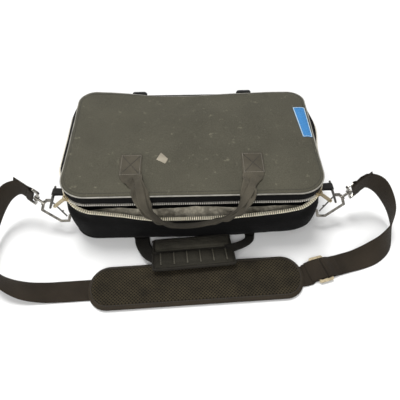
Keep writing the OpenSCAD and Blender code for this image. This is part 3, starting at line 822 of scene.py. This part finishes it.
# x, y, z; the direction across; the width in millimetres. The gathered middle is about a third as wide
HANDLE = [
    (-.139, -.061, .1612, 1, 0, 0, 50), (-.139, -.085, .1616, 1, 0, 0, 50),
    (-.1375, -.110, .1618, 1, 0, 0, 50), (-.1350, -.127, .1618, 1, .02, 0, 49),
    (-.1265, -.143, .1640, .97, .10, .12, 40), (-.1200, -.158, .1665, .88, .10, .40, 34),
    (-.1140, -.175, .1665, .90, .20, .20, 35), (-.1080, -.190, .1630, .88, .36, -.20, 37),
    (-.1020, -.202, .1530, .78, .42, -.46, 36), (-.0940, -.209, .1380, .60, .52, -.60, 32),
    (-.0830, -.213, .1210, .35, .70, -.62, 26), (-.0660, -.215, .1060, .12, .85, -.50, 21),
    (-.0420, -.217, .0970, 0, .90, -.43, 18), (-.0160, -.217, .0945, 0, .92, -.38, 17),
    (.0100, -.217, .0975, 0, .92, -.38, 17), (.0380, -.216, .1045, 0, .90, -.40, 18),
    (.0660, -.215, .1135, -.05, .86, -.46, 21), (.0900, -.212, .1265, -.22, .74, -.58, 25),
    (.1040, -.208, .1430, -.50, .58, -.60, 30), (.1120, -.200, .1570, -.74, .46, -.48, 34),
    (.1170, -.188, .1640, -.86, .30, -.15, 35), (.1205, -.172, .1665, -.90, .18, .24, 33),
    (.1235, -.157, .1660, -.92, .08, .34, 34), (.1275, -.143, .1635, -.97, 0, .14, 40),
    (.1335, -.128, .1618, -1, 0, 0, 48), (.1360, -.108, .1618, -1, 0, 0, 50),
    (.1365, -.085, .1616, -1, 0, 0, 50), (.1365, -.061, .1612, -1, 0, 0, 50),
]


def make_front_handle():
    h = np.array(HANDLE)
    # keep the across direction turning one way, so that the band doesn't flip in the middle
    for k in range(1, len(h)):
        if np.dot(h[k, 3:6], h[k - 1, 3:6]) < 0:
            h[k, 3:6] *= -1
    s = spline(h, 0.0035)
    fold = ease((0.047 - s[:, 6] / 1000) / 0.018)
    flat = ease((s[:, 1] + 0.150) / 0.022)
    s[:, 2] += (lid_z(s[:, 0], np.maximum(s[:, 1], -0.170)) + 0.0014 - s[:, 2]) * flat
    at = run_length(s[:, :3])

    def folds(along, a):
        """Slanting pleats where the flat webbing is gathered, on both arms."""
        end = np.minimum(along, at[-1] - along)
        here = ease((end - 0.062) / 0.020) * ease((0.260 - end) / 0.05)
        slant = end * 62 + a * 1.6
        return here * (0.0032 * (np.abs(np.mod(slant, 2) - 1) - 0.5) + 0.0014 * np.sin(end * 190 + 3 * a))
    o = band("front_handle_webbing", s[:, :3], s[:, 3:6], s[:, 6] / 1000, TOP_WEB_LIT, 0.0024 + 0.0028 * fold, 24,
             0.004 * fold * (1 - fold) * 4, folds)
    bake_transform(o)
    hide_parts("handle_patch_left", "handle_patch_right", "front_handle")
    t = tangents(s[:, :3])
    w = square_to(s[:, 3:6], t)
    up = np.cross(t, w)
    for side, turn, end in (("left", 1, at), ("right", -1, at[-1] - at)):
        # the second layer, where the webbing folds over itself
        k = (end > 0.068) & (end < 0.225)
        wide = s[k, 6] / 1000
        off = wide * (0.26 - 0.50 * ease((end[k] - 0.068) / 0.13)) * turn
        rise = 0.0034 * np.sin(np.pi * np.clip((end[k] - 0.066) / 0.16, 0, 1)) ** 0.35 - 0.0006
        q = s[k, :3] + w[k] * off[:, None] + up[k] * np.sign(up[k][4, 2]) * rise[:, None]
        f = band("front_handle_fold_" + side, q, w[k], wide * 0.52, TOP_WEB_LIT, 0.0020, 12, 0.0006)
        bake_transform(f)
    for side, x in (("left", -0.138), ("right", 0.1365)):
        stitch_box("front_patch_stitch_" + side, x, -0.124, -0.065, 0.0215, 0.0028, "lid")


make_front_handle()


# ---------- rear handle and its padded grip ----------

LIFT = math.radians(11.5)
REAR_Y, REAR_Z = -CY - 0.002, 0.0011         # the line that the rear handle turns about


def rear(p):
    """From the flat plan of the rear handle to its lifted place."""
    p = np.asarray(p, float)
    y, z = p[..., 1] - REAR_Y, p[..., 2] - REAR_Z
    q = p.copy()
    q[..., 1] = REAR_Y + y * math.cos(LIFT) + z * math.sin(LIFT)
    q[..., 2] = REAR_Z - y * math.sin(LIFT) + z * math.cos(LIFT)
    return q


def turned(p, at, angle):
    """Points turned about the upright axis and moved to at."""
    p = np.asarray(p, float)
    c, s = math.cos(angle), math.sin(angle)
    q = p.copy()
    q[..., 0] = at[0] + c * p[..., 0] - s * p[..., 1]
    q[..., 1] = at[1] + s * p[..., 0] + c * p[..., 1]
    return q


GRIP_AT, GRIP_TURN = V(-0.003, -0.232), math.radians(5)


def grip(p):
    """From the grip's own frame, along it and across it, to its place."""
    return rear(turned(p, GRIP_AT, GRIP_TURN))


def soft_slab(name, mat, length, width, z0, z1, y_mid, relief, nx, ny):
    """A padded slab in the grip's frame with full sides: a superellipse plan, domed top, flat underside."""
    U, W = np.meshgrid(np.linspace(-1, 1, nx), np.linspace(-1, 1, ny), indexing="ij")
    X = U * length / 2 * (1 - 0.02 * np.abs(W) ** 6)
    Y = W * width / 2 * (1 - 0.042 * np.abs(U) ** 8)
    dome = (1 - np.abs(U) ** 12) ** 0.45 * (1 - np.abs(W) ** 4) ** 0.45
    top = z0 + 0.0012 + (z1 - z0 - 0.0012) * dome + relief(X, Y) * dome
    uv = np.stack([X, Y + y_mid], -1)
    T = np.dstack([uv, top])
    L = np.dstack([uv, np.full_like(top, z0)])
    return cushion(name, grip(T), grip(L), mat, uv)


def rear_leg(name, pts, widths, thick):
    s = spline(np.column_stack([pts, widths]), 0.006)
    a = np.gradient(s[:, :2], axis=0)
    side = np.column_stack([-a[:, 1], a[:, 0], 0 * a[:, 0]])
    o = band(name, rear(s[:, :3]), side, s[:, 3], WEB, thick)
    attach(o, "rear_handle")
    return o


def make_rear_webbing():
    left = rear_leg("rear_handle_leg_left",
                    [(-.124, -.184, .0015), (-.1215, -.200, .0024), (-.1150, -.218, .0034),
                     (-.1050, -.236, .0044), (-.0910, -.250, .006), (-.068, -.257, .008)],
                    [.036, .034, .032, .031, .030, .030], 0.0040)
    rear_leg("rear_handle_leg_right",
             [(.1340, -.184, .0022), (.1315, -.195, .0036), (.1240, -.205, .0046),
              (.1140, -.213, .0056), (.1000, -.221, .0068), (.074, -.231, .008)],
             [.022, .021, .020, .020, .021, .024], 0.0060)
    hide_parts("rear_handle")
    y = np.linspace(-0.184, -0.068, 36)
    # each patch under the case: where its webbing comes out, where it is sewn, and its width at the edge
    for side, x0, x1, w0, w1 in (("left", -0.124, -0.136, 0.034, 0.036),
                                 ("right", 0.134, 0.136, 0.021, 0.026)):
        wide = np.interp(y, [-0.184, -0.170, -0.160], [w0, w1, 0.049])
        path = np.column_stack([x0 + (x1 - x0) * ease((y + 0.184) / 0.03), y, np.full(len(y), 0.0012)])
        o = band("rear_patch_webbing_" + side, path, np.tile(V(1, 0, 0), (len(y), 1)), wide, WEB, 0.0021)
        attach(o, "tray")
        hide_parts("rear_handle_patch_" + side)


def ribs(x, y):
    """The raised pockets of the grip."""
    d = np.abs(x - np.clip(np.round(x / RIB_PITCH), -2, 2) * RIB_PITCH) / RIB_PITCH * 2.1
    inside = (np.abs(x) < 0.0735) & (np.abs(y) < 0.0185)
    high = 0.0056 * np.sqrt(np.clip(1 - d ** 3, 0, 1)) * ease((0.0185 - np.abs(y)) / 0.005)
    return np.where(inside, high, -0.0006)


def quilt(x, y):
    """Soft waves on the flap, and two grooves along it."""
    return (0.0006 * np.sin(x * TAU / 0.045) * np.cos(y * TAU / 0.03)
            - 0.0016 * np.exp(-((np.abs(y) - 0.0125) / 0.0012) ** 2))


def make_grip():
    pad_y, flap_y = -0.0255, 0.0211
    pad = soft_slab("grip_cushion", GRIP, 0.182, 0.049, 0.0026, 0.0135, pad_y, ribs, 150, 34)
    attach(pad, "rear_handle")
    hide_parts("grip_pad", "grip_ribs")
    flap = soft_slab("grip_flap_cushion", FLAP_LIT, 0.178, 0.040, 0.0030, 0.0118, flap_y, quilt, 110, 28)
    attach(flap, "grip_flap")
    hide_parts("grip_flap")
    # tape sewn down on both sides of each pocket, coloured pale as a painted highlight on the pocket edges
    y = np.linspace(-0.0435, -0.0085, 12)
    for k in range(1, 7):
        path = np.column_stack([np.full(12, (k - 3.5) * RIB_PITCH), y, np.full(12, 0.0150)])
        o = tube(f"grip_rib_tape_{k}", grip(path), 0.0016, RIB_TAPE_HIGHLIGHT, sides=6, flat=0.8)
        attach(o, "rear_handle")
    # binding tape round the pad and round the flap
    for name, body, long, cy, half, z in (("grip_binding", "rear_handle", 0.0905, pad_y, 0.0243, 0.0068),
                                          ("flap_binding", "grip_flap", 0.0885, flap_y, 0.0198, 0.0066)):
        front = [(-long, cy - half + .008), (-long + .006, cy - half), (0, cy - half - .0004),
                 (long - .006, cy - half), (long, cy - half + .008)]
        back = [(long, cy + half - .008), (long - .006, cy + half), (0, cy + half),
                (-long + .006, cy + half), (-long, cy + half - .008)]
        p = grip(spline([(a, b, z) for a, b in front + back], 0.005, closed=True))
        o = tube(name, p, 0.0030, BINDING, closed=True, sides=8, flat=1.3)
        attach(o, body)


make_rear_webbing()
make_grip()


# ---------- shoulder strap ----------

STRAP_Z = 0.0026
# from the pad to each hook: x, y, z in millimetres, and how far the band stands up on its edge in degrees
ROUTE_LEFT = V([-229, -318.0, 2.6, 0], [-290, -321, 2.6, 0], [-330, -322, 4, 5], [-372, -319, 10, 18],
               [-412, -306, 20, 42], [-446, -281, 27, 66], [-465, -243, 30, 82], [-469, -196, 38, 90],
               [-465, -150, 54, 90], [-453, -118, 74, 90], [-434, -100, 91, 90],
               [-408.4, -97, 97.4, 90], [-389, -106, 86.5, 90])
ROUTE_RIGHT = V([241, -295, 2.6, 0], [256, -288, 2.6, 0], [272, -282.6, 2.6, 0], [340, -264, 2.6, 0],
                [375, -255, 4, 6], [410, -243, 12, 26], [442, -222, 22, 50], [464, -188, 32, 74],
                [470, -150, 51, 86], [457, -117, 74, 90], [436, -99, 91, 90],
                [408.4, -97, 97.4, 90], [389, -106, 86.5, 90])


def route(r):
    """Points in metres and the directions across the band."""
    p = r[:, :3] / 1000
    t = np.array([unit(p[min(i + 1, len(p) - 1)] - p[max(i - 1, 0)]) for i in range(len(p))])
    side = np.column_stack([-t[:, 1], t[:, 0], 0 * t[:, 0]])
    side /= np.linalg.norm(side, axis=1)[:, None]
    up = np.cross(t, side)
    a = np.radians(r[:, 3])[:, None]
    return p, side * np.cos(a) + up * np.sin(a)


PAD_MID, PAD_TURN = V(0.005, -0.3065), math.radians(2.8)
SLIDE_AT, SLIDE_TURN = V(0.285, -0.279), math.radians(15.2)


def on_pad(p):
    return turned(p, PAD_MID, PAD_TURN)


def make_strap_ends():
    """The ends that turn round the eyes' bars and are sewn down."""
    bar = V(0.3825, -0.1092, 0.0839)
    across = unit(V(-0.4114, -0.1919, 0.891))
    along = unit(V(-0.8075, -0.3766, -0.4540))
    shape = [(-.052, .0026), (-.030, .0026), (-.014, .0028), (-.005, .0042), (.0022, .0034), (.0043, 0),
             (.0022, -.0034), (-.005, -.0040), (-.011, -.0016)]
    ends = []
    for side, m in (("left", V(-1, 1, 1)), ("right", V(1, 1, 1))):
        w, d = across * m, along * m
        p = spline([bar * m + d * a + np.cross(w, d) * b for a, b in shape], 0.0022)
        o = band("strap_end_fold_" + side, p, np.tile(w, (len(p), 1)), 0.0485, STRAP, 0.0022)
        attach(o, "tray")
        ends.append(o)
    return ends


def make_slider_turn():
    """The webbing's hump over the slider's middle bar."""
    u = V(math.cos(SLIDE_TURN), math.sin(SLIDE_TURN), 0)
    shape = [(-.032, .0044), (-.029, .0052), (-.025, .0068), (-.018, .0096), (-.010, .0098), (-.004, .0101),
             (.003, .0101), (.0062, .0058), (.0092, .0097), (.0145, .0103), (.021, .0086), (.030, .0048),
             (.042, .0036)]
    p = spline([V(*SLIDE_AT, b) + u * a for a, b in shape], 0.0018)
    hump = band("strap_slider_turn", p, np.tile(V(-u[1], u[0], 0), (len(p), 1)), 0.0495, STRAP, 0.0022)
    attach(hump, "strap_slider")
    return hump


def make_pad():
    """The shoulder pad: its mesh face with sunk holes, the binding round it and a line of stitches."""
    long, wide = 0.470, 0.100
    nx, ny = 430, 98
    x = np.linspace(-1, 1, nx)
    U, W = np.meshgrid(np.sin(x * np.pi / 2) * 0.35 + x * 0.65, np.linspace(-1, 1, ny), indexing="ij")
    half = wide / 2 * (1 - np.clip((np.abs(U) - 0.81) / 0.19, 0, 1) ** 2.1) ** 0.5
    half = np.maximum(half, 0.006)
    X, Y = U * long / 2, W * half
    edge = np.minimum((1 - np.abs(W)) * half, (1 - np.abs(U)) * long / 2)
    dome = ease(edge / 0.012) ** 0.6
    sag = 0.0014 * wob(np.stack([X, Y, 0 * X], -1), 0.06, 51)
    top = 0.0060 + 0.0068 * dome + sag * dome
    a, b = (X - Y) / math.sqrt(2) / PAD_PITCH, (X + Y) / math.sqrt(2) / PAD_PITCH
    d = np.hypot(a - np.round(a), b - np.round(b)) * PAD_PITCH
    top = top - 0.0012 * ease((0.0022 - d) / 0.0011) * ease((edge - 0.010) / 0.002)
    low = 0.0008 + 0.003 * (1 - dome)
    pad = cushion("shoulder_pad_mesh", on_pad(np.dstack([X, Y, top])), on_pad(np.dstack([X, Y, low])), MESH,
                  np.dstack([X, Y]))
    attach(pad, "strap_pad")
    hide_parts("strap_pad")
    q = V(*((X[k], Y[k], 0.0062) for k in border(nx, ny)))
    even = spline(q[::4], 0.005, closed=True)
    t = tangents(even, True)
    nrm = np.column_stack([t[:, 1], -t[:, 0]])
    nrm *= np.sign((nrm * (even[:, :2] - even[:, :2].mean(0))).sum(1))[:, None]

    def ring(off, z):
        return on_pad(np.column_stack([even[:, :2] + nrm * off, np.full(len(even), z)]))
    profile = ((0.0008, 0.0015), (0.0022, 0.0045), (0.0016, 0.0082), (-0.002, 0.0102), (-0.004, 0.0118),
               (-0.0062, 0.0124), (-0.0066, 0.0112), (-0.0045, 0.0080), (-0.002, 0.0030))
    tape = loft("shoulder_pad_binding", np.stack([ring(*p) for p in profile], 1), PAD_EDGE, wrap_u=True)
    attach(tape, "strap_pad")
    line = stitches("shoulder_pad_stitching", ring(-0.0048, 0.0123), 0.0046, 0.0030, True)
    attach(line, "strap_pad")
    return [pad, tape, line]


def make_strap():
    pl, al = route(ROUTE_LEFT)
    pr, ar = route(ROUTE_RIGHT)
    mid = [on_pad(V(x, 0, STRAP_Z)) for x in (-0.15, -0.05, 0.05, 0.15)]
    across = [V(0, 1, 0)] * 4
    s = spline(np.vstack([np.hstack([pl, -al])[::-1], np.hstack([mid, across]), np.hstack([pr, ar])]), 0.008)
    strap = band("strap_webbing_band", s[:, :3], s[:, 3:6], 0.050, STRAP, 0.0024, 12)
    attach(strap, "tray")
    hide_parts("strap_webbing_left", "strap_webbing_right")
    extra = [*make_strap_ends(), make_slider_turn(), *make_pad()]


make_strap()


# ---------- ring tabs ----------

def make_tabs():
    """The webbing loops that hold the rings."""
    for side, m in (("left", -1), ("right", 1)):
        shape = [(.2865, .072), (.2890, .086), (.2945, .0975), (.3060, .1003), (.3160, .1002),
                 (.3220, .0999), (.3250, .1018), (.3252, .1042), (.3222, .1061), (.3140, .1056),
                 (.3040, .1046), (.2930, .1040), (.2820, .1030)]
        s = spline([(x, z, 0) for x, z in shape], 0.003)
        p = np.column_stack([s[:, 0] * m, np.full(len(s), -0.118), s[:, 1]])
        o = band("ring_tab_webbing_" + side, p, np.tile(V(0, 1, 0), (len(s), 1)), 0.0185, TAB_WEB, 0.0019)
        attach(o, "tray")
        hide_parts("ring_tab_" + side)


make_tabs()


# ---------- rumpled lining in the open zip ----------

def make_lining():
    """The loose cloth that shows in the open zip, with ridges of folds."""
    nu, nv = 200, 34
    x = np.linspace(-0.258, 0.262, nu)
    v = np.linspace(0, 1, nv)
    U, W = np.meshgrid(x, v, indexing="ij")
    zr = np.interp(x, SAG_X, SAG_Z)[:, None]
    ln = np.interp(x, SAG_X, LEAN)[:, None]
    y0 = -0.1725 - ln * 0.60 + 0.030 * ease((np.abs(U) - 0.215) / 0.06)
    y = y0 + (-0.1640 - y0) * ease(W * 1.1)
    z_top = 0.0945 + 0.003 * np.sin(U * 31 + 1) - 0.003 * ease((np.abs(U) - 0.17) / 0.06)
    z = (zr - 0.030) + (z_top - (zr - 0.030)) * W
    q = np.stack([U + W * 0.012, 0 * U, W * 0.030], -1)

    def ridge(size, seed):
        return 0.5 - np.abs(wob(q, size, seed)) * 2.2
    fine = wob(q * V(1, 1, 2.5), 0.009, 65) * 0.0012
    fold = ridge(0.034, 61) * 0.0140 + ridge(0.017, 63) * 0.0068 + fine + 0.002
    fold = fold * np.sin(np.pi * np.clip(W, 0.04, 0.92)) ** 0.6 * ease((0.265 - np.abs(U)) / 0.05)
    face = np.stack([U, y - fold * 0.62 - 0.001, z + fold * 0.50], -1)
    back = face + V(0, 0.0007, -0.0004)
    P = np.concatenate([face, back[:, ::-1]], 1)
    o = loft("front_lining_cloth", P, LINING)
    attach(o, "tray")
    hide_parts("front_lining")


make_lining()


# ---------- floor and light ----------

def make_stage():
    me = bpy.data.meshes.new("floor")
    corners = [(-6, -6), (6, -6), (6, 6), (-6, 6)]
    me.from_pydata([(x, y, -0.0002) for x, y in corners], [], [(0, 1, 2, 3)])
    m = Mat("floor_pale", 0.9)
    m.b.inputs["Base Color"].default_value = (0.90, 0.90, 0.895, 1)
    me.materials.append(m.m)
    floor = bpy.data.objects.new("floor", me)
    bpy.context.collection.objects.link(floor)
    world = bpy.data.worlds.new("world")
    bpy.context.scene.world = world
    world.use_nodes = True
    bg = world.node_tree.nodes["Background"]
    bg.inputs[0].default_value = (1.0, 1.0, 1.0, 1)
    bg.inputs[1].default_value = 0.40
    sun = bpy.data.lights.new("sun", "SUN")
    sun.energy, sun.angle = 2.45, math.radians(26)
    o = bpy.data.objects.new("sun", sun)
    o.matrix_world = Vector((0.15, -0.33, -0.93)).to_track_quat("-Z", "Y").to_matrix().to_4x4()
    bpy.context.collection.objects.link(o)
    fill = bpy.data.lights.new("fill", "AREA")
    fill.size, fill.energy = 1.5, 20
    o = bpy.data.objects.new("fill", fill)
    at = Vector((-0.3, -1.7, 1.1))
    o.matrix_world = Matrix.Translation(at) @ (-at).to_track_quat("-Z", "Y").to_matrix().to_4x4()
    bpy.context.collection.objects.link(o)


make_stage()
bpy.context.scene.view_settings.view_transform = "Standard"
